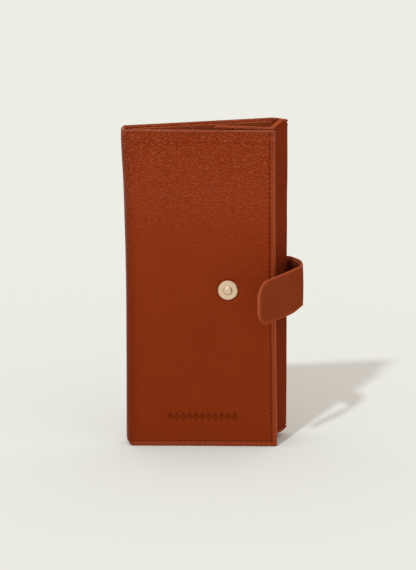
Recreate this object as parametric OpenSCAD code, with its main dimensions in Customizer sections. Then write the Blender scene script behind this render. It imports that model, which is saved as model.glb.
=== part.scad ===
/* [Overall] */
// Height of the wallet, along its long side
wallet_h = 195; // [180:1:210]
// Width of the back panel, from crease to crease
back_w = 97; // [95:1:100]
// Depth of the left spine
spine_left_w = 11.5; // [11:0.5:13]
// Depth of the right spine
spine_right_w = 22.6; // [22:0.2:23]
// Width of the front cover, from crease to free edge
cover_w = 87; // [85:1:88]
// Width of the inner side flap
flap_w = 34; // [28:1:35]

/* [Leather] */
// Thickness of the outer leather
leather_t = 1.0; // [0.8:0.1:1.1]
// Thickness of the stiffening board
board_t = 0.8; // [0.6:0.1:0.9]
// Thickness of the inner facing leather
facing_t = 0.8; // [0.6:0.1:0.9]
// Distance from an edge to its row of stitches
stitch_inset = 3.2; // [2.5:0.1:4]
// Pitch of the stitches
stitch_pitch = 3.0; // [2.5:0.1:4]

/* [Card slots] */
// Number of card slots in each stack
slot_count = 4; // [2:1:4]
// Step between the mouths of two slots
slot_step = 12; // [9:1:13]
// Thickness of one slot sheet
slot_t = 0.5; // [0.4:0.1:0.5]

/* [Strap] */
// Width of the strap
strap_w = 27; // [22:1:30]
// Length of the strap's rounded end section
strap_tip_l = 34; // [33:0.5:35]
// Thickness of the strap
strap_t = 1.8; // [1.6:0.1:1.8]
// Diameter of the snap
snap_d = 12; // [10:0.5:12]
// Distance from the cover's free edge to the snap's centre
snap_inset = 27.8; // [27.5:0.1:28]

/* [Coin pocket] */
// Length of the coin pocket's zip
zip_l = 170; // [150:2:170]
// Length of the zip pull
pull_l = 15; // [10:1:16]

/* [Hidden] */
$fn = 48;
eps = 0.01;
// plan angles of the panels at rest, measured from the back panel's direction
cover_ang = -10.7;
spine_left_ang = -95.35;
spine_right_ang = -125.1;
flap_ang = 180 + cover_ang;
// mitre slopes: how much a layer shortens at a crease for each millimetre inward
k_left = 0.95;
k_right = 1.95;
k_flap = 0.66;
gap = 0.4;
function dir(a) = [cos(a), sin(a)];
cover_org = spine_left_w * dir(spine_left_ang);
flap_org = [back_w, 0] + spine_right_w * dir(spine_right_ang);
strap_z = wallet_h / 2;
// strap route in plan: hinge of the root, hinge of the middle, bulge points, hinge of the end
strap_h0 = [97.6, 0.9];
strap_h1 = [99.0, -0.6];
strap_q1 = [103.2, -9];
strap_q2 = [102.6, -20.5];
strap_pm = [91.3, -34.1];
strap_tip_ang = -131.8;
socket_at = strap_tip_l - 7.2;
snap_s = cover_w - snap_inset;
// coin pocket
zip_x = 34;
zip_z0 = 12;
zip_z1 = zip_z0 + zip_l;
slider_z = zip_z1 - 10;
pocket_y = leather_t + board_t + 0.4;
tape_y = pocket_y + 0.4;
face_y0 = tape_y + 0.4;
face_y1 = face_y0 + facing_t;
teeth_y1 = face_y0 + 1.2;
axle_y = teeth_y1 + 2.2;

leather_c = [0.50, 0.20, 0.09];
edge_c = [0.30, 0.11, 0.05];
lining_c = [0.36, 0.14, 0.07];
thread_c = [0.42, 0.16, 0.07];
board_c = [0.62, 0.56, 0.46];
metal_c = [0.78, 0.68, 0.46];

// A layer of a panel, seen in plan: along the panel from s0 to s1, from depth t0 to t1, with mitred ends, inward on side sgn
module layer(s0, s1, k0, k1, t0, t1, z0, z1, sgn) {
  translate([0, 0, z0]) linear_extrude(z1 - z0)
    polygon([[s0 + k0 * t0, sgn * t0], [s1 - k1 * t0, sgn * t0], [s1 - k1 * t1, sgn * t1], [s0 + k0 * t1, sgn * t1]]);
}
module on_spine_left() { rotate([0, 0, spine_left_ang]) children(); }
module on_cover() { translate([cover_org[0], cover_org[1], 0]) rotate([0, 0, cover_ang]) children(); }
module on_spine_right() { translate([back_w, 0, 0]) rotate([0, 0, spine_right_ang]) children(); }
module on_flap() { translate([flap_org[0], flap_org[1], 0]) rotate([0, 0, flap_ang]) children(); }
module on_strap_end() { translate([strap_pm[0], strap_pm[1], 0]) rotate([0, 0, strap_tip_ang]) children(); }

// A row of stitches along the panel at height z, from s0 to s1; sy is the side they stand proud on
module stitch_row(s0, s1, z, sy) {
  n = floor((s1 - s0) / stitch_pitch);
  for (i = [0 : n - 1])
    translate([s0 + (i + 0.12) * stitch_pitch, sy > 0 ? 0 : -0.3, z - 0.3]) cube([stitch_pitch * 0.76, 0.3, 0.6]);
}
module stitch_column(s, z0, z1, sy) {
  n = floor((z1 - z0) / stitch_pitch);
  for (i = [0 : n - 1])
    translate([s - 0.3, sy > 0 ? 0 : -0.3, z0 + (i + 0.12) * stitch_pitch]) cube([0.6, 0.3, stitch_pitch * 0.76]);
}

// ---- back panel ----
module back_leather() { color(leather_c) layer(0, back_w - gap, k_left, k_right, 0, leather_t, 0, wallet_h, -1); }
module back_board() { color(board_c) layer(5, back_w - 7, k_left, k_right, leather_t, leather_t + board_t, 4.5, wallet_h - 4.5, -1); }
module coin_pocket_lining() { color(lining_c) layer(5, back_w - 6, k_left, k_right, leather_t + board_t, pocket_y, 3, wallet_h - 3, -1); }
module back_facing_left() {
  color(leather_c) difference() {
    translate([5.5, -face_y1, 0.6]) cube([zip_x - 4 - 5.5, face_y1 - pocket_y, wallet_h - 1.2]);
    translate([9.5, -face_y0, 6]) cube([40, face_y0, wallet_h - 12]);
  }
}
module back_facing_right() {
  color(leather_c) difference() {
    translate([zip_x - 4, -face_y1, 0.6]) cube([back_w - 12 - zip_x + 4, face_y1 - pocket_y, wallet_h - 1.2]);
    translate([zip_x - 5, -face_y0, 6]) cube([back_w - 16 - zip_x + 5, face_y0, wallet_h - 12]);
    translate([zip_x - 5, -face_y1 - 1, zip_z0 - 2]) cube([9, 10, zip_l + 4]);
  }
}
module zip_tape(s) { color(lining_c) translate([s < 0 ? zip_x - 7 : zip_x + 0.3, -face_y0, zip_z0 - 4]) cube([6.7, face_y0 - tape_y, zip_l + 8]); }
module zip_tape_left() zip_tape(-1);
module zip_tape_right() zip_tape(1);
module zip_teeth() {
  color(metal_c) for (i = [0 : floor(zip_l / 2) - 3]) {
    translate([zip_x - 0.9, -teeth_y1, zip_z0 + 3 + 2 * i]) cube([1.2, 1.2, 0.8]);
    translate([zip_x - 0.3 + eps, -teeth_y1, zip_z0 + 4 + 2 * i]) cube([1.2, 1.2, 0.8]);
  }
}
module zip_stop_top() { color(metal_c) translate([zip_x - 1.5, -teeth_y1 - 0.2, zip_z1 + 0.2]) cube([3, 1.4, 1.6]); }
module zip_stop_bottom() { color(metal_c) translate([zip_x - 1.5, -teeth_y1 - 0.2, zip_z0]) cube([3, 1.4, 1.8]); }
module strap_anchor() { color(leather_c) translate([back_w - 27, 0, strap_z - strap_w / 2]) cube([26.6, strap_t, strap_w]); }
module back_stitching() {
  color(thread_c) {
    stitch_row(2, back_w - 2, stitch_inset, 1);
    stitch_row(2, back_w - 2, wallet_h - stitch_inset, 1);
  }
}

// ---- left spine ----
module spine_left_leather() { color(leather_c) on_spine_left() layer(gap, spine_left_w - gap, k_left, k_left, 0, leather_t, 0, wallet_h, 1); }
module spine_left_lining() { color(lining_c) on_spine_left() layer(gap, spine_left_w - gap, k_left, k_left, leather_t, leather_t + 0.6, 0.6, wallet_h - 0.6, 1); }

// ---- front cover ----
module front_leather() {
  color(leather_c) on_cover() difference() {
    layer(gap, cover_w, k_left, 0, 0, leather_t, 0, wallet_h, 1);
    translate([snap_s, -1, strap_z]) rotate([-90, 0, 0]) cylinder(d = 3.2, h = 6);
  }
}
module front_board() {
  color(board_c) on_cover() difference() {
    layer(3, cover_w - 5, k_left, 0, leather_t, leather_t + board_t, 4.5, wallet_h - 4.5, 1);
    translate([snap_s, -1, strap_z]) rotate([-90, 0, 0]) cylinder(d = 11, h = 6);
  }
}
module front_facing() { color(leather_c) on_cover() layer(1.2, cover_w - 0.4, k_left, 0, leather_t + board_t, leather_t + board_t + facing_t, 0.4, wallet_h - 0.4, 1); }
module card_slot(i, z0, z1) {
  t0 = leather_t + board_t + facing_t + (i - 1) * slot_t;
  color(leather_c) on_cover() translate([cover_w - 5 - (slot_count - i) * slot_step - 14, t0, z0]) cube([(slot_count - i) * slot_step + 14, slot_t, z1 - z0]);
}
module card_slot_upper_1() card_slot(1, wallet_h / 2 + 3, wallet_h - 7);
module card_slot_upper_2() card_slot(2, wallet_h / 2 + 3, wallet_h - 7);
module card_slot_upper_3() card_slot(3, wallet_h / 2 + 3, wallet_h - 7);
module card_slot_upper_4() card_slot(4, wallet_h / 2 + 3, wallet_h - 7);
module card_slot_lower_1() card_slot(1, 7, wallet_h / 2 - 3);
module card_slot_lower_2() card_slot(2, 7, wallet_h / 2 - 3);
module card_slot_lower_3() card_slot(3, 7, wallet_h / 2 - 3);
module card_slot_lower_4() card_slot(4, 7, wallet_h / 2 - 3);
// The stud: a flat disc with a raised nub in its middle, and a shank through the leather
module snap_stud() {
  color(metal_c) on_cover() translate([snap_s, leather_t, strap_z]) rotate([90, 0, 0]) rotate_extrude()
    polygon([[0, 0], [1.5, 0], [1.5, leather_t], [snap_d / 2 - 0.2, leather_t], [snap_d / 2, leather_t + 0.3],
      [snap_d / 2 - 0.5, leather_t + 0.9], [2.6, leather_t + 0.9], [2.25, leather_t + 1.1], [2.1, leather_t + 1.7], [1.6, leather_t + 1.9], [0, leather_t + 1.9]]);
}
module snap_stud_washer() { color(metal_c) on_cover() translate([snap_s, leather_t, strap_z]) rotate([-90, 0, 0]) cylinder(d = 10.4, h = 0.5); }
module front_stitching() {
  color(thread_c) on_cover() {
    stitch_row(4, cover_w - stitch_inset, stitch_inset, -1);
    stitch_row(4, cover_w - stitch_inset, wallet_h - stitch_inset, -1);
    stitch_column(cover_w - stitch_inset, stitch_inset + 1, wallet_h - stitch_inset - 1, -1);
  }
}

// ---- right spine ----
module spine_right_leather() { color(leather_c) on_spine_right() layer(gap, spine_right_w - gap, k_right, k_flap, 0, leather_t, 0, wallet_h, -1); }
module spine_right_lining() { color(lining_c) on_spine_right() layer(gap, spine_right_w - gap, k_right, k_flap, leather_t, leather_t + 0.6, 0.6, wallet_h - 0.6, -1); }
module spine_right_stitching() {
  color(thread_c) on_spine_right() {
    stitch_row(4, spine_right_w - 1, stitch_inset, 1);
    stitch_row(4, spine_right_w - 1, wallet_h - stitch_inset, 1);
  }
}

// ---- inner side flap ----
module flap_leather() { color(leather_c) on_flap() layer(gap, flap_w, k_flap, 0, 0, leather_t, 0, wallet_h, -1); }
module flap_board() { color(board_c) on_flap() layer(4, flap_w - 4, k_flap, 0, leather_t, leather_t + 0.5, 4.5, wallet_h - 4.5, -1); }
module flap_facing() { color(leather_c) on_flap() layer(1.2, flap_w - 0.4, k_flap, 0, leather_t + 0.5, leather_t + 1.2, 0.4, wallet_h - 0.4, -1); }
module flap_pocket(i) { color(leather_c) on_flap() translate([3.5, -(leather_t + 1.2 + i * 0.5), 4 + 14 * (i - 1)]) cube([flap_w - 5 - 6 * (i - 1), 0.5, wallet_h - 10 - 14 * (i - 1) * 2]); }
module flap_pocket_1() flap_pocket(1);
module flap_pocket_2() flap_pocket(2);
module flap_pocket_3() flap_pocket(3);
module flap_stitching() {
  color(thread_c) on_flap() {
    stitch_row(1, flap_w - 2, stitch_inset, 1);
    stitch_row(1, flap_w - 2, wallet_h - stitch_inset, 1);
  }
}

// ---- strap ----
// A band in plan between two offsets of a three-piece route
function unit(v) = v / norm(v);
function side(a, b) = [-(b - a)[1], (b - a)[0]] / norm(b - a);
function band_point(p, i, o) =
  let (n0 = side(p[max(i - 1, 0)], p[max(i, 1)]), n1 = side(p[min(i, len(p) - 2)], p[min(i + 1, len(p) - 1)]), m = unit(n0 + n1))
  p[i] + m * o / (m * n0);
module band(p, o0, o1, z0, z1) {
  translate([0, 0, z0]) linear_extrude(z1 - z0)
    polygon(concat([for (i = [0 : len(p) - 1]) band_point(p, i, o0)], [for (i = [len(p) - 1 : -1 : 0]) band_point(p, i, o1)]));
}
strap_z0 = strap_z - strap_w / 2;
strap_z1 = strap_z + strap_w / 2;
fold_dir = unit(strap_h1 - strap_h0);
mid_a = strap_h1 + 0.55 * unit(strap_q1 - strap_h1);
mid_b = strap_pm - 0.35 * unit(strap_pm - strap_q2);
mid_route = [mid_a, strap_q1, strap_q2, mid_b];
lining_route = [mid_a, strap_q1, strap_q2, strap_pm - 0.9 * unit(strap_pm - strap_q2)];
module strap_fold() {
  color(leather_c) band([strap_h0 + 0.1 * fold_dir, strap_h1 - 0.3 * fold_dir], -0.6, 0.7, strap_z0, strap_z1);
}
module strap_middle_leather() { color(leather_c) band(mid_route, 0, 0.9, strap_z0, strap_z1); }
module strap_middle_lining() { color(lining_c) band(lining_route, -0.9, 0, strap_z0, strap_z1); }
module strap_middle_stitching() {
  m = [strap_q1, strap_q2];
  a = atan2(m[1][1] - m[0][1], m[1][0] - m[0][0]);
  color(thread_c) translate([m[0][0], m[0][1], 0]) rotate([0, 0, a]) translate([0, 0.9, 0]) {
    stitch_row(0.6, norm(m[1] - m[0]) - 0.6, strap_z0 + 2.4, 1);
    stitch_row(0.6, norm(m[1] - m[0]) - 0.6, strap_z1 - 2.4, 1);
  }
}
// The strap's rounded end, as an outline in its own plane
module end_outline(start) {
  r = 10;
  translate([start, -strap_w / 2]) square([strap_tip_l - r - start, strap_w]);
  translate([start, -strap_w / 2 + r]) square([strap_tip_l - start, strap_w - 2 * r]);
  translate([strap_tip_l - r, strap_w / 2 - r]) circle(r = r);
  translate([strap_tip_l - r, -strap_w / 2 + r]) circle(r = r);
}
module strap_end_leather() { color(leather_c) on_strap_end() translate([0, 0.9, strap_z]) rotate([90, 0, 0]) linear_extrude(0.9) end_outline(0.35); }
module strap_end_lining() {
  color(lining_c) on_strap_end() difference() {
    translate([0, 0, strap_z]) rotate([90, 0, 0]) linear_extrude(0.9) end_outline(0.9);
    translate([socket_at, 1, strap_z]) rotate([90, 0, 0]) cylinder(d = 4.2, h = 3);
  }
}
module strap_end_stitching() {
  color(thread_c) on_strap_end() translate([0, 0.9, 0]) {
    stitch_row(1, strap_tip_l - 10, strap_z0 + 2.4, 1);
    stitch_row(1, strap_tip_l - 10, strap_z1 - 2.4, 1);
  }
}
// The socket: a ring with a bore that the stud's nub enters, and a magnet behind it
module snap_socket() {
  color(metal_c) on_strap_end() difference() {
    translate([socket_at, -0.9, strap_z]) rotate([90, 0, 0]) cylinder(d = snap_d - 2.8, h = 0.9);
    translate([socket_at, -0.8, strap_z]) rotate([90, 0, 0]) cylinder(d = 5.4, h = 4);
  }
}
module snap_magnet() { color(metal_c) on_strap_end() translate([socket_at, 0, strap_z]) rotate([90, 0, 0]) cylinder(d = 4, h = 1.1); }

// ---- zip slider and pull ----
module zip_slider() {
  color(metal_c) translate([zip_x, 0, slider_z]) difference() {
    union() {
      translate([-2.6, -teeth_y1 - 1.2, -5]) cube([5.2, 0.9, 10]);
      translate([-2.6, -teeth_y1 - 0.3 - eps, -5]) cube([1.4, 1.2, 10]);
      translate([1.2, -teeth_y1 - 0.3 - eps, -5]) cube([1.4, 1.2, 10]);
      translate([-0.8, -axle_y - 1.1, -2]) cube([1.6, 2.2, 4]);
    }
    translate([-5, -axle_y, 0]) rotate([0, 90, 0]) cylinder(d = 1.5, h = 10);
  }
}
module zip_pull() {
  color(leather_c) translate([zip_x, -axle_y, slider_z]) {
    translate([-1.8, 0, 0]) rotate([0, 90, 0]) cylinder(d = 0.9, h = 3.6);
    translate([-2.1, -0.45, -3.4]) cube([1, 0.9, 3.9]);
    translate([1.1, -0.45, -3.4]) cube([1, 0.9, 3.9]);
    translate([-2.6, -0.45, -pull_l]) cube([5.2, 0.9, pull_l - 2.6]);
  }
}

back_leather();
back_board();
back_facing_left();
back_facing_right();
coin_pocket_lining();
zip_tape_left();
zip_tape_right();
zip_teeth();
zip_stop_top();
zip_stop_bottom();
strap_anchor();
back_stitching();
spine_left_leather();
spine_left_lining();
front_leather();
front_board();
front_facing();
card_slot_upper_1();
card_slot_upper_2();
card_slot_upper_3();
card_slot_upper_4();
card_slot_lower_1();
card_slot_lower_2();
card_slot_lower_3();
card_slot_lower_4();
snap_stud();
snap_stud_washer();
front_stitching();
spine_right_leather();
spine_right_lining();
spine_right_stitching();
flap_leather();
flap_board();
flap_facing();
flap_pocket_1();
flap_pocket_2();
flap_pocket_3();
flap_stitching();
strap_fold();
strap_middle_leather();
strap_middle_lining();
strap_middle_stitching();
strap_end_leather();
strap_end_lining();
strap_end_stitching();
snap_socket();
snap_magnet();
zip_slider();
zip_pull();
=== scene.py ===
import math

import bpy
import numpy as np
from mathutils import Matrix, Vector


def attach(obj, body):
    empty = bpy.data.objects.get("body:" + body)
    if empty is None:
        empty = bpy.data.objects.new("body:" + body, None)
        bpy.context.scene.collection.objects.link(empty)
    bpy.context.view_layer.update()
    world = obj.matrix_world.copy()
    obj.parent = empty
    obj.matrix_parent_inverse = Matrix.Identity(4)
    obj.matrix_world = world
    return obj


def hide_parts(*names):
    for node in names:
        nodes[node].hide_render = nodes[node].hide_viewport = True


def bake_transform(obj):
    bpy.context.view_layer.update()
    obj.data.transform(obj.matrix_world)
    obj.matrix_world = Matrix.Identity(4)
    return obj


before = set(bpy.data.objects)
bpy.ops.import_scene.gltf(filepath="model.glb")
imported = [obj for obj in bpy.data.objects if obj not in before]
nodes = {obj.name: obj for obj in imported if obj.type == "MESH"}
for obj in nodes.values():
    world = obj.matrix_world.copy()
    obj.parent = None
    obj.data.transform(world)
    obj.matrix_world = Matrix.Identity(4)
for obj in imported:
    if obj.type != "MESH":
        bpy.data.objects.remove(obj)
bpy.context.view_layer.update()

MM = 0.001
H = 195.0

# ------------------------------------------------------------------ small helpers


def unit(v):
    v = np.asarray(v, float)
    return v / np.linalg.norm(v)


def direction(a):
    return np.array([math.cos(math.radians(a)), math.sin(math.radians(a))])


def smooth(x):
    x = np.clip(x, 0, 1)
    return x * x * (3 - 2 * x)


TABLE = np.random.RandomState(7).rand(256, 256)


def noise(u, v, shift=0):
    """Smooth value noise from 0 to 1."""
    u = np.asarray(u, float) + 17.3 * shift + 500
    v = np.asarray(v, float) + 9.7 * shift + 500
    i, j = np.floor(u).astype(int), np.floor(v).astype(int)
    fu, fv = smooth(u - i), smooth(v - j)
    a, b = TABLE[i % 256, j % 256], TABLE[(i + 1) % 256, j % 256]
    c, d = TABLE[i % 256, (j + 1) % 256], TABLE[(i + 1) % 256, (j + 1) % 256]
    return (a * (1 - fu) + b * fu) * (1 - fv) + (c * (1 - fu) + d * fu) * fv


def gauss(x, w):
    return np.exp(-((x / w) ** 2))


class Route:
    """A line in plan with rounded corners, measured along its length."""

    def __init__(self, points, radii=(), inner=1.0):
        points = [np.array(p, float) for p in points]
        out = [points[0]]
        for k in range(1, len(points) - 1):
            a, b, c = points[k - 1], points[k], points[k + 1]
            d0, d1 = unit(b - a), unit(c - b)
            turn = math.atan2(d0[0] * d1[1] - d0[1] * d1[0], float(d0 @ d1))
            r = radii[k - 1]
            if r <= 0 or abs(turn) < 1e-3:
                out.append(b)
                continue
            reach = r * math.tan(abs(turn) / 2)
            start = b - d0 * reach
            side = math.copysign(1, turn)
            centre = start + side * r * np.array([-d0[1], d0[0]])
            steps = max(4, int(abs(math.degrees(turn)) / 4))
            for q in range(steps + 1):
                a2 = turn * q / steps
                v = start - centre
                out.append(centre + np.array([v[0] * math.cos(a2) - v[1] * math.sin(a2), v[0] * math.sin(a2) + v[1] * math.cos(a2)]))
        out.append(points[-1])
        dense = [out[0]]
        for p in out[1:]:
            n = max(1, int(np.linalg.norm(p - dense[-1]) / 0.4))
            q = dense[-1]
            dense += [q + (p - q) * (t + 1) / n for t in range(n)]
        self.p = np.array(dense)
        seg = np.diff(self.p, axis=0)
        self.s = np.concatenate([[0], np.cumsum(np.linalg.norm(seg, axis=1))])
        tan = np.zeros_like(self.p)
        d = seg / np.linalg.norm(seg, axis=1)[:, None]
        tan[0], tan[-1] = d[0], d[-1]
        tan[1:-1] = d[:-1] + d[1:]
        self.t = tan / np.linalg.norm(tan, axis=1)[:, None]
        self.n = np.stack([-self.t[:, 1], self.t[:, 0]], 1) * inner
        self.length = float(self.s[-1])

    def at(self, s):
        s = np.asarray(s, float)
        out = [np.interp(s, self.s, m[:, k]) for m in (self.p, self.n, self.t) for k in (0, 1)]
        n = np.stack(out[2:4], -1)
        t = np.stack(out[4:6], -1)
        n /= np.linalg.norm(n, axis=-1)[..., None]
        t /= np.linalg.norm(t, axis=-1)[..., None]
        p = np.stack(out[:2], -1) + t * (np.minimum(s, 0) + np.maximum(s - self.length, 0))[..., None]
        return p, n, t


def settle(p):
    """How the soft wallet leans and flares away from true panels, in millimetres."""
    x, y, z = p[..., 0], p[..., 1], p[..., 2]
    up, low = z / H, 1 - z / H
    right = np.clip(x / 90, 0, 1)
    front = np.clip(-y / 20, 0, 1)
    dx = front * ((1.9 * low**2 + 0.35) * right - 0.4 * up**1.5 * right)
    dx = dx - (1 - smooth(x / 34)) * (0.75 + 1.6 * smooth((z - 70) / 125) ** 1.6 + 0.9 * smooth((z - 155) / 35))
    # the back stands a little taller than the cover, most at its right end
    behind = smooth((y + 19) / 14)
    dz = behind * (0.6 + 1.7 * np.clip(x / 90, 0, 1)) * smooth((z - 150) / 45)
    dz = dz + 1.2 * smooth((x - 84) / 10) * smooth((y + 24) / 14) * smooth((30 - z) / 30)
    # the lower edge of the right spine and of the flap rises toward the front
    lag = y + 11.45 + 0.189 * (x + 1.07)
    dz = dz + 0.27 * np.clip(-y - 1, 0, 30) * smooth((lag - 5) / 3) * smooth((x - 35) / 15) * smooth((60 - z) / 60)
    return np.stack([p[..., 0] + dx, p[..., 1], p[..., 2] + dz], -1)


def place(route, s, depth, z):
    """Points of a panel: s along it, depth inward from its outer face, height z."""
    p, n, t = route.at(s)
    q = p + n * np.asarray(depth)[..., None]
    return settle(np.stack([q[..., 0], q[..., 1], np.broadcast_to(z, q.shape[:-1])], -1))


def make(name, co, faces, uv=None, mat=None, angle=50):
    mesh = bpy.data.meshes.new(name)
    mesh.from_pydata((np.asarray(co) * MM).tolist(), [], [list(map(int, f)) for f in faces])
    if uv is not None:
        layer = mesh.uv_layers.new(name="UVMap")
        idx = np.zeros(len(mesh.loops), np.int64)
        mesh.loops.foreach_get("vertex_index", idx)
        layer.data.foreach_set("uv", np.asarray(uv, np.float32)[idx].ravel())
    mesh.polygons.foreach_set("use_smooth", np.ones(len(mesh.polygons), bool))
    mesh.update()
    mesh.set_sharp_from_angle(angle=math.radians(angle))
    if mat:
        mesh.materials.append(mat)
    obj = bpy.data.objects.new(name, mesh)
    bpy.context.scene.collection.objects.link(obj)
    return obj


RIM = [0.03, 0.12, 0.26, 0.45, 0.7, 1.0, 1.4, 1.9, 2.5, 3.2, 4.0, 5.0]


def lines(a, b, step, rim_a, rim_b, extra=()):
    """Grid lines from a to b, closer together at a free edge and where asked."""
    g = [a, b] + [e for e in extra if a < e < b]
    if rim_a:
        g += [a + r for r in RIM if a + r < b]
    if rim_b:
        g += [b - r for r in RIM if b - r > a]
    g = sorted(g)
    out = [g[0]]
    for v in g[1:]:
        if v - out[-1] < 0.02:
            continue
        n = int(math.ceil((v - out[-1]) / step - 1e-6))
        q = out[-1]
        out += [q + (v - q) * (k + 1) / n for k in range(n)]
    return np.array(out)


def slab(name, route, s0, s1, z0, z1, t0, t1, mat, free="abcd", round_t=None, corners=(0.8,) * 4, step=0.8, zstep=None,
         outer=None, inner=None, extra_s=(), extra_z=(), lip=None, uv_shift=0.0, zmap=None):
    """A shaped sheet on a route: free edges a (s0), b (s1), c (z0), d (z1) are rounded over, corners are rounded in outline.
    outer(s, z, d) and inner(s, z, d) raise the two faces. lip = (width, depth) thickens the rim towards the inside."""
    S = lines(s0, s1, step, "a" in free, "b" in free, extra_s)
    Z = lines(z0, z1, zstep or step, "c" in free, "d" in free, extra_z)
    s, z = np.meshgrid(S, Z, indexing="ij")
    big = 1e3 * np.ones_like(s)
    da = s - s0 if "a" in free else big
    db = s1 - s if "b" in free else big
    dc = z - z0 if "c" in free else big
    dd = z1 - z if "d" in free else big
    dist = np.minimum(np.minimum(da, db), np.minimum(dc, dd))
    sm, zm = s.copy(), z.copy()
    for r, ds, dz, sx, sz in ((corners[0], da, dc, -1, -1), (corners[1], db, dc, 1, -1), (corners[2], db, dd, 1, 1), (corners[3], da, dd, -1, 1)):
        a, b = r - ds, r - dz
        hit = (a > 0) & (b > 0)
        ln = np.hypot(a, b)
        m = np.maximum(a, b)
        k = np.where(hit, m / np.where(ln > 0, ln, 1), 1)
        sm = np.where(hit, sm + sx * (a * k - a), sm)
        zm = np.where(hit, zm + sz * (b * k - b), zm)
    uz = zm
    if zmap is not None:
        zm = zmap(sm, zm)
    depth_in = np.full_like(s, t1)
    if lip:
        depth_in = t1 + lip[1] * (1 - smooth((dist - lip[0]) / 0.7))
    full = depth_in - t0
    R = full * 0.49 if round_t is None else np.minimum(full * 0.49, round_t)
    q = np.clip(1 - dist / R, 0, 1)
    drop = R * (1 - np.sqrt(np.clip(1 - q * q, 0, 1)))
    o = t0 + drop
    i = depth_in - drop
    if outer is not None:
        o = o - outer(sm, uz, dist) * smooth(dist / 0.8)
    if inner is not None:
        i = i + inner(sm, uz, dist) * smooth(dist / 0.8)
    co = np.concatenate([place(route, sm, o, zm).reshape(-1, 3), place(route, sm, i, zm).reshape(-1, 3)])
    ns, nz = s.shape
    idx = np.arange(ns * nz).reshape(ns, nz)
    N = ns * nz
    A, B, C, D = idx[:-1, :-1], idx[1:, :-1], idx[1:, 1:], idx[:-1, 1:]
    top = np.stack([A, B, C, D], -1).reshape(-1, 4)
    bot = np.stack([A, D, C, B], -1).reshape(-1, 4) + N

    def wall(e):
        return np.stack([e[:-1], e[:-1] + N, e[1:] + N, e[1:]], -1)

    walls = np.concatenate([wall(idx[:, 0]), wall(idx[-1, :]), wall(idx[::-1, -1]), wall(idx[0, ::-1])])
    faces = np.concatenate([top, bot, walls])
    v = co[faces]
    vol = np.einsum("ij,ij->i", v[:, 0], np.cross(v[:, 1], v[:, 2])).sum() + np.einsum("ij,ij->i", v[:, 0], np.cross(v[:, 2], v[:, 3])).sum()
    if vol < 0:
        faces = faces[:, ::-1]
    uv1 = np.stack([(sm + uv_shift) / 100, zm / 100], -1).reshape(-1, 2)
    obj = make(name, co, faces, np.concatenate([uv1, uv1 + [0.003, 0.002]]), mat)
    # rim marks the free edges and the bead beside the stitch line; the leather materials paint it lighter as a painted
    # highlight
    rim = obj.data.attributes.new("rim", "FLOAT", "POINT")
    r = (np.exp(-((dist / 0.75) ** 2)) + 0.42 * np.exp(-(((dist - 1.75) / 0.6) ** 2))).ravel()
    rim.data.foreach_set("value", np.concatenate([r, r]).astype(np.float32))
    return obj


def capsules(name, centres, along, up, length, width, height, mat):
    """Rounded thread stitches at the centres, long way along, standing up along the third direction."""
    rings, around = 7, 8
    v, f = [], []
    for a in range(rings):
        u = -1 + 2 * a / (rings - 1)
        r = math.sqrt(max(0.0, 1 - abs(u) ** 3.2)) if abs(u) < 1 else 0.12
        for b in range(around):
            t = 2 * math.pi * b / around
            v.append((u / 2, r * math.cos(t) / 2, r * math.sin(t) / 2))
    for a in range(rings - 1):
        for b in range(around):
            c = (b + 1) % around
            f.append((a * around + b, a * around + c, (a + 1) * around + c, (a + 1) * around + b))
    f.append(tuple(range(around))[::-1])
    f.append(tuple((rings - 1) * around + b for b in range(around)))
    v = np.array(v)
    co, faces = [], []
    for k in range(len(centres)):
        c, x, n = centres[k], unit(along[k]), unit(up[k])
        y = np.cross(n, x)
        y = unit(y)
        n = np.cross(x, y)
        slant = 0.13
        x2 = unit(x + slant * y)
        co.append(c + v[:, :1] * length * x2 + v[:, 1:2] * width * y + v[:, 2:3] * height * n)
        faces += [tuple(i + k * len(v) for i in q) for q in f]
    uv = np.tile(np.stack([v[:, 0], v[:, 1]], -1), (len(centres), 1))
    return make(name, np.concatenate(co), faces, uv, mat, 80)


def seam(route, run, depth, pitch=3.0):
    """Centres and directions of stitches along run = [(s, z), (s, z)...] in the panel's own plane."""
    cs, al, up = [], [], []
    for (sa, za), (sb, zb) in zip(run[:-1], run[1:]):
        L = math.hypot(sb - sa, zb - za)
        n = max(1, int(round(L / pitch)))
        for k in range(n):
            f = (k + 0.5) / n
            s, z = sa + (sb - sa) * f, za + (zb - za) * f
            e = 0.3
            us, uz = (sb - sa) / L, (zb - za) / L
            p = place(route, np.array([s, s - us * e, s + us * e, s]), np.array([depth, depth, depth, depth + 1]), np.array([z, z - uz * e, z + uz * e, z]))
            cs.append(p[0])
            al.append(p[2] - p[1])
            up.append(p[0] - p[3])
    return cs, al, up


def groove(s, z, runs, width=0.5, depth=0.42, pitch=3.0, puff=0.26):
    """The dent of a row of stitches and the leather that it gathers beside it: negative is inward."""
    out = np.zeros_like(s)
    for (sa, za), (sb, zb) in runs:
        L = math.hypot(sb - sa, zb - za)
        us, uz = (sb - sa) / L, (zb - za) / L
        f = (s - sa) * us + (z - za) * uz
        off = (s - sa) * -uz + (z - za) * us
        inside = smooth((f + 0.8) / 0.8) * smooth((L + 0.8 - f) / 0.8)
        n = max(1, round(L / pitch))
        beat = 0.5 - 0.5 * np.cos(2 * math.pi * f / L * n)
        out += inside * (-depth * gauss(off, width) * (0.75 + 0.4 * (1 - beat)) + puff * gauss(np.abs(off) - 1.25, 0.75) * (0.7 + 0.6 * beat))
    return out

# ------------------------------------------------------------------ materials


def material(name):
    m = bpy.data.materials.new(name)
    m.use_nodes = True
    nt = m.node_tree
    p = nt.nodes["Principled BSDF"]
    return m, nt, p


def add(nt, kind, **values):
    n = nt.nodes.new(kind)
    for k, v in values.items():
        if k in n.inputs:
            n.inputs[k].default_value = v
        else:
            setattr(n, k, v)
    return n


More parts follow.
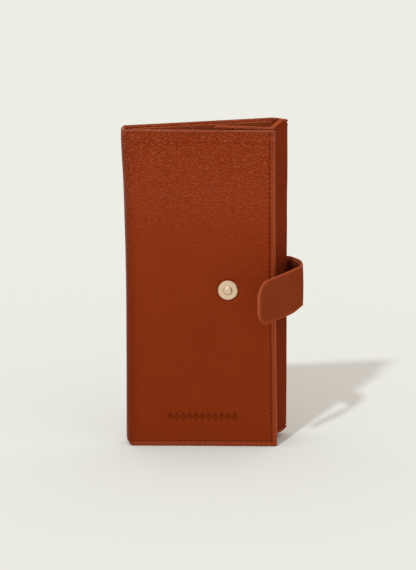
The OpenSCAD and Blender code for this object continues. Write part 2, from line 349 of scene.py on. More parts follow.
def leather(name, base, dark, grain=0.35, rough=0.36, fine=1.0, top_grain_and_light=True, spec=0.12, tint=(1.0, 0.45, 0.24), edge=(0.40, 0.085, 0.03), edge_mix=0.75, fold=None):
    m, nt, p = material(name)
    L = nt.links.new
    uv = add(nt, "ShaderNodeTexCoord")
    patch = add(nt, "ShaderNodeTexNoise", Scale=5.0, Detail=3.0, Roughness=0.6)
    L(uv.outputs["UV"], patch.inputs["Vector"])
    wide = add(nt, "ShaderNodeMapping")
    wide.inputs["Scale"].default_value = (0.55, 1.0, 1.0)
    L(uv.outputs["UV"], wide.inputs["Vector"])
    warp = add(nt, "ShaderNodeTexNoise", Scale=24.0 * fine, Detail=2.0)
    L(wide.outputs["Vector"], warp.inputs["Vector"])
    bend = add(nt, "ShaderNodeMix", data_type="RGBA", blend_type="LINEAR_LIGHT")
    bend.inputs["Factor"].default_value = 0.018
    L(wide.outputs["Vector"], bend.inputs["A"])
    L(warp.outputs["Color"], bend.inputs["B"])
    pebble = add(nt, "ShaderNodeTexVoronoi", Scale=112.0 * fine, feature="SMOOTH_F1", Smoothness=0.4, Randomness=1.0)
    L(bend.outputs["Result"], pebble.inputs["Vector"])
    small = add(nt, "ShaderNodeTexNoise", Scale=150.0 * fine, Detail=4.0, Roughness=0.65)
    L(uv.outputs["UV"], small.inputs["Vector"])
    mixv = add(nt, "ShaderNodeMath", operation="MULTIPLY_ADD")
    L(small.outputs["Fac"], mixv.inputs[0])
    mixv.inputs[1].default_value = 0.55
    L(pebble.outputs["Distance"], mixv.inputs[2])
    # the grain stands stronger toward the top of the wallet
    sep = add(nt, "ShaderNodeSeparateXYZ")
    L(uv.outputs["UV"], sep.inputs["Vector"])
    high = add(nt, "ShaderNodeMapRange")
    L(sep.outputs["Y"], high.inputs["Value"])
    high.inputs["From Min"].default_value = 0.3
    high.inputs["From Max"].default_value = 1.95
    curve = add(nt, "ShaderNodeMath", operation="POWER")
    L(high.outputs["Result"], curve.inputs[0])
    curve.inputs[1].default_value = 2.2
    ramp = add(nt, "ShaderNodeMapRange")
    L(curve.outputs["Value"], ramp.inputs["Value"])
    ramp.inputs["To Min"].default_value = 0.09 if top_grain_and_light else 0.22
    ramp.inputs["To Max"].default_value = 1.0 if top_grain_and_light else 0.22
    bump = add(nt, "ShaderNodeBump", Distance=0.0040)
    stren = add(nt, "ShaderNodeMath", operation="MULTIPLY")
    L(ramp.outputs["Result"], stren.inputs[0])
    stren.inputs[1].default_value = grain
    soft = add(nt, "ShaderNodeMath", operation="MULTIPLY")
    L(stren.outputs["Value"], soft.inputs[0])
    L(curve.outputs["Value"], soft.inputs[1])
    L(stren.outputs["Value"], bump.inputs["Strength"])
    flip = add(nt, "ShaderNodeMath", operation="MULTIPLY")
    L(mixv.outputs["Value"], flip.inputs[0])
    flip.inputs[1].default_value = -1.0
    L(flip.outputs["Value"], bump.inputs["Height"])
    L(bump.outputs["Normal"], p.inputs["Normal"])
    col = add(nt, "ShaderNodeMix", data_type="RGBA")
    cr = add(nt, "ShaderNodeMapRange")
    L(patch.outputs["Fac"], cr.inputs["Value"])
    cr.inputs["From Min"].default_value = 0.3
    cr.inputs["From Max"].default_value = 0.7
    L(cr.outputs["Result"], col.inputs["Factor"])
    col.inputs["A"].default_value = (*dark, 1)
    col.inputs["B"].default_value = (*base, 1)
    at = add(nt, "ShaderNodeAttribute", attribute_name="rim")
    em = add(nt, "ShaderNodeMath", operation="MULTIPLY")
    L(at.outputs["Fac"], em.inputs[0])
    em.inputs[1].default_value = edge_mix
    # painted shade: the colour darkens toward the bottom of the wallet, standing in for light falling off
    painted_falloff = add(nt, "ShaderNodeMapRange")
    L(sep.outputs["Y"], painted_falloff.inputs["Value"])
    painted_falloff.inputs["From Min"].default_value = 0.0
    painted_falloff.inputs["From Max"].default_value = 1.6
    painted_falloff.inputs["To Min"].default_value = 0.80 if top_grain_and_light else 0.95
    painted_falloff.inputs["To Max"].default_value = 0.95 if top_grain_and_light else 1.0
    # painted highlight: the colour is lifted toward the top where the grain is strongest, standing in for light on the
    # upper band
    painted_top_light = add(nt, "ShaderNodeMath", operation="MULTIPLY_ADD")
    L(soft.outputs["Value"], painted_top_light.inputs[0])
    painted_top_light.inputs[1].default_value = 0.62 if top_grain_and_light else 0.0
    painted_top_light.inputs[2].default_value = 1.0
    tone = add(nt, "ShaderNodeMath", operation="MULTIPLY")
    L(painted_falloff.outputs["Result"], tone.inputs[0])
    L(painted_top_light.outputs["Value"], tone.inputs[1])
    if fold is not None:
        # painted shade: darker along the fold, where the leather turns away from the light
        fold_shade = add(nt, "ShaderNodeMapRange", interpolation_type="SMOOTHSTEP")
        L(sep.outputs["X"], fold_shade.inputs["Value"])
        fold_shade.inputs["From Min"].default_value = (fold - 1.0) / 100
        fold_shade.inputs["From Max"].default_value = (fold + 8.0) / 100
        fold_shade.inputs["To Min"].default_value = 0.70
        fold_shade.inputs["To Max"].default_value = 1.0
        both = add(nt, "ShaderNodeMath", operation="MULTIPLY")
        L(tone.outputs["Value"], both.inputs[0])
        L(fold_shade.outputs["Result"], both.inputs[1])
        tone = both
    shade = add(nt, "ShaderNodeVectorMath", operation="SCALE")
    L(col.outputs["Result"], shade.inputs[0])
    L(tone.outputs["Value"], shade.inputs["Scale"])
    # painted highlight: the free edges and the bead beside the stitch line (the rim attribute) are painted a lighter
    # edge colour
    rim_highlight = add(nt, "ShaderNodeMix", data_type="RGBA")
    L(em.outputs["Value"], rim_highlight.inputs["Factor"])
    L(shade.outputs["Vector"], rim_highlight.inputs["A"])
    rim_highlight.inputs["B"].default_value = (*edge, 1)
    # painted highlight: the tops of the grain ridges are painted a lighter colour, most toward the top
    ridge = add(nt, "ShaderNodeMapRange")
    L(mixv.outputs["Value"], ridge.inputs["Value"])
    ridge.inputs["From Min"].default_value = 0.80
    ridge.inputs["From Max"].default_value = 0.44
    lit = add(nt, "ShaderNodeMath", operation="MULTIPLY")
    L(ridge.outputs["Result"], lit.inputs[0])
    L(soft.outputs["Value"], lit.inputs[1])
    ridge_highlight = add(nt, "ShaderNodeMix", data_type="RGBA")
    L(lit.outputs["Value"], ridge_highlight.inputs["Factor"])
    L(rim_highlight.outputs["Result"], ridge_highlight.inputs["A"])
    ridge_highlight.inputs["B"].default_value = (0.51, 0.13, 0.055, 1)
    L(ridge_highlight.outputs["Result"], p.inputs["Base Color"])
    p.inputs["Roughness"].default_value = rough
    p.inputs["Specular IOR Level"].default_value = spec
    p.inputs["Specular Tint"].default_value = (*tint, 1)
    return m


def simple(name, base, dark, scale=60.0, rough=0.7, metal=0.0, bump_d=0.0001, strength=0.3, spec=0.3, coords="Object", stretch=(1, 1, 1)):
    m, nt, p = material(name)
    L = nt.links.new
    uv = add(nt, "ShaderNodeTexCoord")
    mp = add(nt, "ShaderNodeMapping")
    mp.inputs["Scale"].default_value = stretch
    L(uv.outputs[coords], mp.inputs["Vector"])
    n = add(nt, "ShaderNodeTexNoise", Scale=scale, Detail=4.0, Roughness=0.6)
    L(mp.outputs["Vector"], n.inputs["Vector"])
    col = add(nt, "ShaderNodeMix", data_type="RGBA")
    L(n.outputs["Fac"], col.inputs["Factor"])
    col.inputs["A"].default_value = (*dark, 1)
    col.inputs["B"].default_value = (*base, 1)
    L(col.outputs["Result"], p.inputs["Base Color"])
    b = add(nt, "ShaderNodeBump", Distance=bump_d, Strength=strength)
    L(n.outputs["Fac"], b.inputs["Height"])
    L(b.outputs["Normal"], p.inputs["Normal"])
    p.inputs["Roughness"].default_value = rough
    p.inputs["Metallic"].default_value = metal
    p.inputs["Specular IOR Level"].default_value = spec
    return m


def turned_metal(name, base, centre, axis):
    """Metal with faint turned rings round a centre line."""
    m, nt, p = material(name)
    L = nt.links.new
    tc = add(nt, "ShaderNodeTexCoord")
    sub = add(nt, "ShaderNodeVectorMath", operation="SUBTRACT")
    L(tc.outputs["Object"], sub.inputs[0])
    sub.inputs[1].default_value = tuple(c * MM for c in centre)
    crs = add(nt, "ShaderNodeVectorMath", operation="CROSS_PRODUCT")
    L(sub.outputs["Vector"], crs.inputs[0])
    crs.inputs[1].default_value = tuple(axis)
    ln = add(nt, "ShaderNodeVectorMath", operation="LENGTH")
    L(crs.outputs["Vector"], ln.inputs[0])
    n = add(nt, "ShaderNodeTexNoise", noise_dimensions="1D", Scale=9000.0, Detail=2.0)
    L(ln.outputs["Value"], n.inputs["W"])
    b = add(nt, "ShaderNodeBump", Distance=0.00004, Strength=0.35)
    L(n.outputs["Fac"], b.inputs["Height"])
    L(b.outputs["Normal"], p.inputs["Normal"])
    col = add(nt, "ShaderNodeMix", data_type="RGBA")
    L(n.outputs["Fac"], col.inputs["Factor"])
    col.inputs["A"].default_value = (*[c * 0.86 for c in base], 1)
    col.inputs["B"].default_value = (*base, 1)
    L(col.outputs["Result"], p.inputs["Base Color"])
    p.inputs["Roughness"].default_value = 0.5
    p.inputs["Metallic"].default_value = 1.0
    return m


M_LEATHER = leather("leather_tan", (0.245, 0.0285, 0.0045), (0.230, 0.0255, 0.0041), grain=0.8, spec=0.15, rough=0.32)
M_SPINE = leather("leather_spine", (0.205, 0.028, 0.0075), (0.18, 0.024, 0.0065), grain=0.5, top_grain_and_light=False, spec=0.0)
M_STRAP = leather("leather_strap", (0.243, 0.0435, 0.0135), (0.218, 0.038, 0.0115), grain=0.4, top_grain_and_light=False, spec=0.0)
M_FACING = leather("leather_facing", (0.22, 0.036, 0.009), (0.18, 0.028, 0.007), grain=0.35, top_grain_and_light=False, rough=0.5)
M_LINING = leather("lining", (0.12, 0.022, 0.007), (0.09, 0.016, 0.005), grain=0.4, fine=1.8, top_grain_and_light=False, rough=0.7, spec=0.15)
M_EDGE = leather("folded_edge", (0.33, 0.062, 0.02), (0.27, 0.046, 0.014), grain=0.3, top_grain_and_light=False, rough=0.38)
M_THREAD = simple("thread", (0.235, 0.032, 0.008), (0.17, 0.023, 0.006), scale=900.0, rough=0.7, bump_d=0.0001, strength=0.5, coords="Generated", spec=0.05)
M_THREAD_LIT = simple("thread_lit", (0.36, 0.065, 0.02), (0.27, 0.045, 0.013), scale=900.0, rough=0.6, bump_d=0.0001, strength=0.5, coords="Generated", spec=0.1)
# painted shade: needle holes are dark marks standing in for the shade inside each hole
M_HOLE = simple("needle_hole", (0.10, 0.014, 0.004), (0.07, 0.010, 0.003), scale=900.0, rough=0.9, spec=0.0)
M_BOARD = simple("board", (0.45, 0.36, 0.25), (0.34, 0.27, 0.18), scale=700.0, rough=0.9)
M_TAPE = simple("zip_tape", (0.09, 0.03, 0.015), (0.05, 0.016, 0.008), scale=1400.0, rough=0.85, strength=0.6, stretch=(1, 1, 3))
M_ZIP = simple("zip_metal", (0.78, 0.55, 0.28), (0.62, 0.42, 0.2), scale=900.0, rough=0.3, metal=1.0, strength=0.15)

# ------------------------------------------------------------------ the lines of the panels in plan

C1 = 11.5 * direction(-95.35)
C2 = np.array([97.0, 0.0])
C3 = C2 + 22.6 * direction(-125.1)
A_DIR = direction(-10.7)
A_END = C1 + 87 * A_DIR
F_DIR = direction(169.3)
F_END = C3 + 34 * F_DIR
MID1 = C1 * 0.5
S2_DIR = direction(-125.1)
MID2 = C2 + 20.0 * S2_DIR

R_COVER = Route([MID1 + [-0.5, 0], C1 + [-0.75, -0.35], A_END], [4.2], 1)
R_BACK = Route([MID1 + [-0.5, 0], (-0.5, 0), (85, 0)], [2.2], -1)
C2S = np.array([98.1, 0.15])
S2S = unit(MID2 - C2S)
R_RIGHT = Route([(85, 0), C2S, MID2], [1.5], -1)
R_FLAP = Route([MID2, C3, F_END], [1.6], -1)
R_A = Route([C1, A_END], (), 1)
R_B = Route([(0, 0), (97, 0)], (), -1)
R_S1 = Route([C1, (0, 0)], (), -1)
R_S2 = Route([C2, C3], (), -1)
R_F = Route([C3, F_END], (), -1)

# ------------------------------------------------------------------ the leather of the cover, back, spines and flap

SNAP_U, SNAP_Z = 59.2, 97.5


def relief(s, z, seed, amp=0.16, scale=34.0):
    """Slow waves in a soft panel."""
    return amp * (noise(s / scale, z / scale, seed) - 0.5) * 2 + 0.35 * amp * (noise(s / 9.0, z / 9.0, seed + 3) - 0.5)


def pebbles(s, z, seed, amp):
    a = noise(s / 0.9, z / 0.9, seed) + 0.6 * noise(s / 1.9 + 5, z / 1.9, seed + 1)
    return amp * (a - 0.8)


def lozenges(u, z):
    """A row of small lozenges pressed into the leather."""
    out = np.zeros_like(u)
    pitch, count = 3.75, 11
    k = np.clip(np.round((u - 43.5) / pitch), -(count // 2), count // 2)
    d = np.abs(u - 43.5 - k * pitch) / 1.8 + np.abs(z - 18.5) / 3.0
    return out - 0.7 * smooth((1.0 - d) / 0.2) * smooth((d - 0.3) / 0.2) - 0.12 * smooth((1.0 - d) / 0.2)


COVER_L = R_COVER.length
U0 = COVER_L - 87.0
COVER_RUNS = [((U0 + 3.5, 3.0), (U0 + 83.8, 3.0)), ((U0 + 83.8, 3.0), (U0 + 83.8, 192.9)), ((U0 + 83.8, 192.9), (U0 + 3.0, 192.9))]


def cover_outer(s, z, d):
    u = s - U0
    r = np.hypot(u - SNAP_U, z - SNAP_Z)
    th = np.arctan2(z - SNAP_Z, u - SNAP_U)
    out = relief(s, z, 2, 0.2)
    out += groove(s, z, COVER_RUNS)
    out += pebbles(s, z, 5, 0.05 + 0.13 * smooth((z - 120) / 75) ** 2)
    out += 0.5 * smooth((u - 2) / 5) * gauss(z - 189.0, 1.7) * (0.55 + 0.9 * noise(s / 1.3, z / 2.0, 9))
    out += -0.42 * gauss(r - 6.5, 0.75) + 0.16 * gauss(r - 8.2, 1.1) * (1 + 0.8 * np.cos(9 * th + 1) * np.cos(4 * th))
    out += -0.35 * smooth((6.3 - r) / 0.8)
    out += lozenges(u, z)
    return out


def lift(z, u, r=2.0):
    """The lower corner of a fold, rounded: the lower edge rises toward the fold."""
    w = np.clip(r - u, 0, r)
    up = r - np.sqrt(np.clip(r * r - w * w, 0, None))
    return z + up * smooth((14 - z) / 14) - 0.35 * up * smooth((z - (H - 10)) / 10)


fine_s = list(U0 + np.arange(21.5, 66, 0.32))
fine_z = list(np.arange(15.2, 21.9, 0.32))
snap_s = list(U0 + SNAP_U + np.arange(-10, 10.1, 0.45))
snap_z = list(SNAP_Z + np.arange(-10, 10.1, 0.45))
edge_s = list(U0 + 87 - np.arange(2.2, 4.6, 0.3))
edge_z = list(np.arange(2.0, 4.2, 0.3)) + list(np.arange(191.6, 194.2, 0.3))


def thinned(extra, gap):
    out = []
    for e in sorted(extra):
        if not out or e - out[-1] >= gap:
            out.append(e)
    return out


M_COVER = leather("leather_cover", (0.245, 0.0285, 0.0045), (0.230, 0.0255, 0.0041), grain=0.8, spec=0.15, rough=0.32, fold=U0)
cover = slab("cover_skin", R_COVER, 0, COVER_L, 0, H, 0, 1.0, M_COVER, free="bcd", corners=(0, 0.9, 1.4, 0), step=0.75,
             outer=cover_outer, lip=(5.4, 1.55), extra_s=thinned(fine_s + snap_s + edge_s, 0.25), extra_z=thinned(fine_z + snap_z + edge_z, 0.25),
             zmap=lambda s, z: lift(z, s - U0))
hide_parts("front_leather", "spine_left_leather")
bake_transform(cover)

BACK_L = R_BACK.length
X0 = BACK_L - 85.0
back = slab("back_skin", R_BACK, 0, BACK_L, 0, H, 0, 1.0, M_LEATHER, free="cd", step=1.5, zstep=1.2, extra_s=list(np.arange(0.5, X0 + 6, 0.6)),
            outer=lambda s, z, d: relief(s - X0, z, 12) + groove(s - X0, z, [((3, 3.0), (104, 3.0)), ((3, 192.4), (104, 192.4))], pitch=3.0),
            lip=(4.6, 1.9), zmap=lambda s, z: lift(z, s - X0))
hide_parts("back_leather")
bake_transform(back)

RIGHT_L = R_RIGHT.length
S2_TURN = RIGHT_L - 20.0
RIGHT_RUNS = [((-8, 2.8), (RIGHT_L + 9, 2.8)), ((-8, 192.6), (RIGHT_L + 9, 192.6))]
right = slab("spine_right_skin", R_RIGHT, 0, RIGHT_L, 0, H, 0, 1.0, M_SPINE, free="cd", step=0.7, zstep=0.8, extra_z=edge_z,
             outer=lambda s, z, d: relief(s, z, 22, 0.22, 22) + groove(s, z, RIGHT_RUNS) + pebbles(s, z, 25, 0.04 + 0.05 * smooth((z - 120) / 75)),
             lip=(4.8, 1.3), uv_shift=BACK_L, zmap=lambda s, z: z + 2.2 * gauss(s - 11, 5.5) * (smooth((9 - z) / 9) - 0.6 * smooth((z - 186) / 9)))
# the part that lies on the back has the back's own finish
right.data.materials.append(M_LEATHER)
right_uv = np.zeros(len(right.data.loops) * 2, np.float32)
right.data.uv_layers[0].data.foreach_get("uv", right_uv)
right_s = right_uv[0::2] * 100 - BACK_L
right_start = np.zeros(len(right.data.polygons), np.int64)
right.data.polygons.foreach_get("loop_start", right_start)
right.data.polygons.foreach_set("material_index", (right_s[right_start] < 11.6).astype(np.int32))
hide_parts("spine_right_leather", "spine_right_stitching")
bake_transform(right)

FLAP_L = R_FLAP.length
FLAP_RUNS = [((-20, 2.8), (FLAP_L - 3, 2.8)), ((-20, 192.6), (FLAP_L - 3, 192.6)), ((FLAP_L - 3, 2.8), (FLAP_L - 3, 192.6))]
flap = slab("flap_skin", R_FLAP, 0, FLAP_L, 0, H, 0, 0.95, M_LEATHER, free="bcd", corners=(0, 1.5, 1.5, 0), step=1.2, zstep=1.2, extra_s=list(np.arange(0.3, 6, 0.4)), extra_z=edge_z,
            outer=lambda s, z, d: relief(s, z, 32) + groove(s, z, FLAP_RUNS), lip=(4.8, 1.1))
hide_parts("flap_leather")
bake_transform(flap)

# ------------------------------------------------------------------ inner sheets


def sheet_on(name, route, s0, s1, z0, z1, t0, t1, mat, body, node, slot="leather", **kw):
    kw.setdefault("step", 1.6)
    kw.setdefault("zstep", 2.0)
    kw.setdefault("corners", (1.2,) * 4)
    o = slab(name, route, s0, s1, z0, z1, t0, t1, mat, **kw)
    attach(o, body)
    if node:
        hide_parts(*([node] if isinstance(node, str) else node))
    return o


def wave(seed, amp=0.12):
    return lambda s, z, d: relief(s, z, seed, amp, 26)


sheet_on("cover_facing", R_A, 2.4, 84.6, 2.4, 192.6, 1.75, 2.72, M_FACING, "front_cover", "front_facing", inner=wave(41, 0.06))
for row, (za, zb) in (("upper", (100.5, 188)), ("lower", (7, 94.5))):
    for i in range(4):
        t0 = 2.66 + 0.5 * i
        sheet_on(f"cover_slot_{row}_{i + 1}", R_A, 68 - (3 - i) * 12, 82, za, zb, t0, t0 + 0.56, M_FACING, "front_cover", f"card_slot_{row}_{i + 1}",
                 corners=(2.0, 1.0, 1.0, 2.0), extra_s=list(68 - (3 - i) * 12 + np.arange(1.2, 3.6, 0.3)), zstep=1.4,
                 inner=lambda s, z, d, s0=68 - (3 - i) * 12, za=za, zb=zb, k=i: 0.16 * gauss(s - s0 - 1.2, 1.6) * np.sin(np.pi * np.clip((z - za) / (zb - za), 0, 1)) - 0.12 * gauss(s - s0 - 2.4, 0.35) + relief(s, z, 50 + k, 0.05))
sheet_on("back_facing_left_sheet", R_B, 5.5, 29.7, 1.6, 193.4, 2.95, 3.8, M_FACING, "back", "back_facing_left", inner=wave(61, 0.1))
sheet_on("back_facing_right_sheet", R_B, 38.3, 87.0, 1.6, 193.4, 2.95, 3.8, M_FACING, "back", "back_facing_right", inner=wave(62, 0.1))
sheet_on("back_facing_bridge_top", R_B, 29.4, 38.6, 183.4, 193.4, 3.0, 3.72, M_FACING, "back", None, inner=wave(63, 0.05))
sheet_on("back_facing_bridge_bottom", R_B, 29.4, 38.6, 1.6, 10.6, 3.0, 3.72, M_FACING, "back", None, inner=wave(64, 0.05))
sheet_on("coin_pocket_sheet", R_B, 5.5, 90.5, 4.5, 190.5, 1.85, 2.2, M_LINING, "back", "coin_pocket_lining", slot="lining", inner=wave(65, 0.05))
sheet_on("zip_tape_a", R_B, 26.5, 33.2, 12, 182, 2.62, 2.98, M_TAPE, "back", "zip_tape_left", slot="zip_tape", inner=wave(66, 0.03))
sheet_on("zip_tape_b", R_B, 34.8, 41.5, 12, 182, 2.62, 2.98, M_TAPE, "back", "zip_tape_right", slot="zip_tape", inner=wave(67, 0.03))
sheet_on("spine_left_sheet", R_S1, 1.2, 10.3, 5.2, 192.4, 0.95, 1.6, M_LINING, "spine_left", "spine_left_lining", slot="lining", inner=wave(68, 0.15))
sheet_on("spine_right_sheet", R_S2, 1.6, 21.0, 2.4, 192.6, 0.95, 1.7, M_LINING, "spine_right", "spine_right_lining", slot="lining", inner=wave(69, 0.2))
sheet_on("flap_facing_sheet", R_F, 2.0, 31.8, 2.4, 192.6, 1.45, 2.25, M_FACING, "side_flap", "flap_facing", inner=wave(70, 0.06))
for i in (1, 2, 3):
    t0 = 2.2 + (i - 1) * 0.5
    sheet_on(f"flap_pocket_sheet_{i}", R_F, 3.5, 32.5 - 6 * (i - 1), 4 + 14 * (i - 1), 189 - 14 * (i - 1), t0, t0 + 0.55, M_FACING, "side_flap", f"flap_pocket_{i}",
             corners=(1.0, 2.5, 2.5, 1.0), inner=wave(72 + i, 0.06))

# ------------------------------------------------------------------ stitches


def stitch_set(name, groups, node, body, mat, length=2.2, width=0.6, height=0.5, holes=True):
    cs, al, up = [], [], []
    for route, run, depth in groups:
        a, b, c = seam(route, run, depth)
        cs += a
        al += b
        up += c
    if holes:
        # painted shade: a dark mark at each stitch end stands in for the shade in its needle hole
        ends = [c + unit(a) * 1.5 for c, a in zip(cs, al)]
        h = capsules(name + "_holes", ends, al, up, 0.7, 0.62, 0.34, M_HOLE)
        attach(h, body)
    o = capsules(name, cs, al, up, length, width, height, mat)
    if node:
        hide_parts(node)
    if isinstance(body, str):
        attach(o, body)
    return o


stitch_set("cover_stitches", [(R_COVER, [(U0 + 83.8, 3.0), (U0 + 83.8, 192.9)], 0.16)], "front_stitching", "front_cover", M_THREAD)
stitch_set("cover_stitches_ends", [(R_COVER, [(U0 + 3.5, 3.0), (U0 + 83.8, 3.0)], -0.05), (R_COVER, [(U0 + 83.8, 192.9), (U0 + 3.0, 192.9)], 0.16)], None, "front_cover", M_THREAD_LIT, holes=False)
stitch_set("back_stitches", [(R_B, [(5, 3.0), (84, 3.0)], 0.16), (R_B, [(5, 192.4), (84, 192.4)], 0.16)], "back_stitching", "back", M_THREAD)
stitch_set("spine_right_stitches", [(R_RIGHT, [(S2_TURN + 4, 2.8), (RIGHT_L - 1, 2.8)], 0.16), (R_RIGHT, [(S2_TURN + 4, 192.6), (RIGHT_L - 1, 192.6)], 0.16)], None, "spine_right", M_THREAD)
stitch_set("flap_stitches", [(R_FLAP, [(5, 2.8), (FLAP_L - 3, 2.8), (FLAP_L - 3, 192.6), (5, 192.6)], 0.16)], "flap_stitching", "side_flap", M_THREAD)

# ------------------------------------------------------------------ strap

PM = np.array([91.3, -34.1])
TIP_DIR = direction(-131.8)
H0P, H1P = np.array([97.6, 0.9]), np.array([99.0, -0.6])
R_STRAP = Route([(70, 0.9), H0P, H1P, (102.7, -9), (101.9, -20.8), PM, PM + 34.4 * TIP_DIR], [1.3, 3.0, 14, 18, 60], -1)
SZ0, SZ1 = 84.0, 111.0


def s_near(route, p):
    return float(route.s[np.argmin(np.linalg.norm(route.p - np.array(p), axis=1))])


SA = s_near(R_STRAP, (H0P + H1P) / 2)
SB = s_near(R_STRAP, (102.0, -6.0))
SP = s_near(R_STRAP, PM)
SE = R_STRAP.length


def strap_outer(s, z, d):
    mid = (z - 97.5) / 13.5
    out = 0.28 * (1 - mid**2) - 0.12 + relief(s, z, 81, 0.1, 14) + pebbles(s, z, 83, 0.04)
    out += -0.3 * gauss(d - 2.1, 0.42) + 0.1 * gauss(d - 1.2, 0.5)
    out += 0.14 * gauss(s - (SP - 8), 6.0) * np.sin(2.3 * (s + 0.6 * z))
    return out


def strap_inner(s, z, d):
    # a raised welt at the tip shields the socket's side
    return 0.12 + relief(s, z, 91, 0.08, 14) - 0.12 * gauss(d - 1.6, 0.35) + 0.85 * smooth((s - (SE - 3.6)) / 1.2)


def strap_z(s, z):
    """The band narrows a little where it turns the corner."""
    return z + 1.5 * np.clip((97.5 - z) / 13.5, 0, 1) * gauss(s - (SP - 15), 7)


def strap_pair(tag, sa, sb, free, corners, outer_nodes, inner_nodes, inner_cut=1.1):
    kw = dict(free=free, corners=corners, step=0.5, zstep=0.6, zmap=strap_z)
    top = slab(f"strap_{tag}_outer", R_STRAP, sa, sb, SZ0, SZ1, -0.98, 0.42, M_STRAP, outer=strap_outer, **kw)
    ia = sa + (inner_cut if "a" in free else 0)
    ib = sb - (inner_cut if "b" in free else 0)
    ic = tuple(max(0.0, c - inner_cut) for c in corners)
    low = slab(f"strap_{tag}_inner", R_STRAP, ia, ib, SZ0 + inner_cut, SZ1 - inner_cut, 0.3, 0.86, M_LINING, outer=None, inner=strap_inner, free=free, corners=ic, step=0.7, zstep=1.0, zmap=strap_z)
    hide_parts(*outer_nodes)
    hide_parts(*inner_nodes)
    for o in (top, low):
        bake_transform(o)
    return top, low


strap_pair("anchor", 0, SA, "acd", (4, 0, 0, 4), ["strap_anchor"], [])
strap_pair("middle", SA, SB, "cd", (0,) * 4, ["strap_fold"], [])
strap_pair("end", SB, SE, "bcd", (0, 10, 10, 0), ["strap_middle_leather", "strap_end_leather"], ["strap_middle_lining", "strap_end_lining"])


def strap_stitches(name, sa, sb, body, node):
    g = [(R_STRAP, [(sa, SZ0 + 2.1), (sb, SZ0 + 2.1)], -0.78), (R_STRAP, [(sa, SZ1 - 2.1), (sb, SZ1 - 2.1)], -0.78)]
    return stitch_set(name, g, node, body, M_THREAD, length=2.0, width=0.45, height=0.3, holes=False)


strap_stitches("strap_middle_stitches", SB + 1, SP - 6, "strap_middle", "strap_middle_stitching")
strap_stitches("strap_end_stitches", SP + 6, SE - 10, "strap_end", "strap_end_stitching")

# ------------------------------------------------------------------ hardware and the nodes shown as they are

N_A = np.array([-0.1857, -0.9826])
SNAP = np.append(C1 + SNAP_U * A_DIR, SNAP_Z)
M_SNAP = turned_metal("snap_metal", (0.86, 0.66, 0.46), SNAP, (N_A[0], N_A[1], 0))
SOCK = np.append(PM + 26.8 * TIP_DIR, SNAP_Z)
S_AX = direction(-131.8 + 90)
M_SOCKET = turned_metal("socket_metal", (0.62, 0.46, 0.28), SOCK, (S_AX[0], S_AX[1], 0))


def dress(node, mat, bevel=0.0):
    o = nodes[node]
    o.data.materials.clear()
    o.data.materials.append(mat)
    o.data.polygons.foreach_set("use_smooth", np.ones(len(o.data.polygons), bool))
    o.data.set_sharp_from_angle(angle=math.radians(35))
    if bevel:
        m = o.modifiers.new("edge", "BEVEL")
        m.width = bevel * MM
        m.segments = 3
        m.limit_method = "ANGLE"
        m.angle_limit = math.radians(35)


dress("snap_stud", M_SNAP, 0.1)
nodes["snap_stud"].data.set_sharp_from_angle(angle=math.radians(18))


def ring(name, centre, axis, r0, r1, lift_mm, mat, body):
    """A thin flat ring standing just above a face."""
    ax = unit(axis)
    x = unit(np.cross(ax, [0, 0, 1.0]))
    y = np.cross(ax, x)
    co, faces, n = [], [], 64
    for k in range(n):
        t = 2 * math.pi * k / n
        e = math.cos(t) * x + math.sin(t) * y
        co += [centre + e * r0 + ax * lift_mm, centre + e * r1 + ax * lift_mm, centre + e * r1 + ax * (lift_mm + 0.06), centre + e * r0 + ax * (lift_mm + 0.06)]
    for k in range(n):
        a, b = 4 * k, 4 * ((k + 1) % n)
        for q in range(4):
            w = (q + 1) % 4
            faces.append((a + q, b + q, b + w, a + w))
    o = make(name, np.array(co), faces, np.zeros((len(co), 2)), mat, 30)
    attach(o, body)
    return o


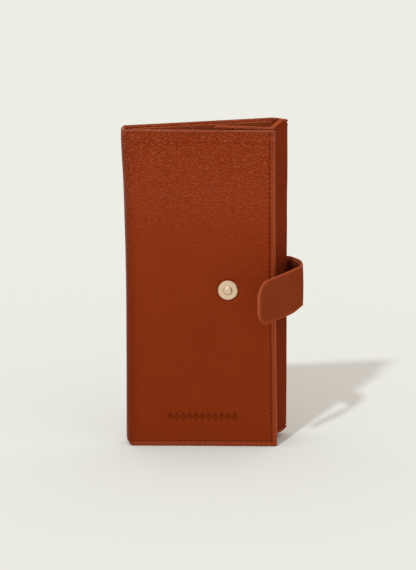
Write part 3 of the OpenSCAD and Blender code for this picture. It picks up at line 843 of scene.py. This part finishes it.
# painted shadow: a dark ring round the stud's nub stands in for the shadow at its base
M_RING = simple("snap_shadow_ring", (0.12, 0.07, 0.035), (0.08, 0.045, 0.02), scale=600.0, rough=0.6)
ring("snap_stud_ring", SNAP, (N_A[0], N_A[1], 0), 2.2, 2.75, 0.88, M_RING, "front_cover")
dress("snap_stud_washer", M_SOCKET, 0.1)
dress("snap_socket", M_SOCKET, 0.12)
dress("snap_magnet", M_SOCKET)
for n in ("back_board", "front_board", "flap_board"):
    dress(n, M_BOARD)
for n in ("zip_stop_top", "zip_stop_bottom", "zip_slider"):
    dress(n, M_ZIP, 0.12)
dress("zip_teeth", M_ZIP)
M_PULL = leather("pull_leather", (0.22, 0.036, 0.009), (0.18, 0.028, 0.007), grain=0.4, top_grain_and_light=False)
M_PULL2 = simple("pull_leather_plain", (0.22, 0.036, 0.009), (0.17, 0.026, 0.007), scale=700.0, rough=0.5)
dress("zip_pull", M_PULL2, 0.2)

# ------------------------------------------------------------------ camera, light, floor

scene = bpy.context.scene
scene.view_settings.view_transform = "Standard"
scene.view_settings.look = "None"

AZ, EL, DIST = math.radians(9.02), math.radians(15.09), 2284.3
fwd = np.array([math.sin(AZ) * math.cos(EL), math.cos(AZ) * math.cos(EL), -math.sin(EL)])
loc = (np.array([47.09, -10.0, 97.88]) - fwd * DIST) * MM
cam_data = bpy.data.cameras.new("camera")
cam_data.sensor_fit = "HORIZONTAL"
cam_data.sensor_width = 36
cam_data.lens = 330.2
cam_data.clip_end = 60
cam = bpy.data.objects.new("camera", cam_data)
scene.collection.objects.link(cam)
cam.location = Vector(loc)
cam.rotation_euler = Vector(fwd).to_track_quat("-Z", "Y").to_euler()
scene.camera = cam

world = bpy.data.worlds.new("studio")
world.use_nodes = True
bg = world.node_tree.nodes["Background"]
bg.inputs["Color"].default_value = (1.0, 0.93, 0.87, 1)
bg.inputs["Strength"].default_value = 0.84
scene.world = world

sun_data = bpy.data.lights.new("key", "SUN")
sun_data.energy = 1.40
sun_data.color = (0.84, 0.97, 1.0)
sun_data.angle = math.radians(3.2)
sun = bpy.data.objects.new("key", sun_data)
scene.collection.objects.link(sun)
sun.rotation_euler = Vector((0.495, 0.745, -1.0)).to_track_quat("-Z", "Y").to_euler()

bpy.ops.mesh.primitive_plane_add(size=14)
floor = bpy.context.object
floor.name = "floor"
M_FLOOR = simple("floor_paper", (0.759, 0.770, 0.739), (0.755, 0.766, 0.735), scale=3.0, rough=0.9, bump_d=0.0, strength=0.0, spec=0.0)
floor.data.materials.append(M_FLOOR)
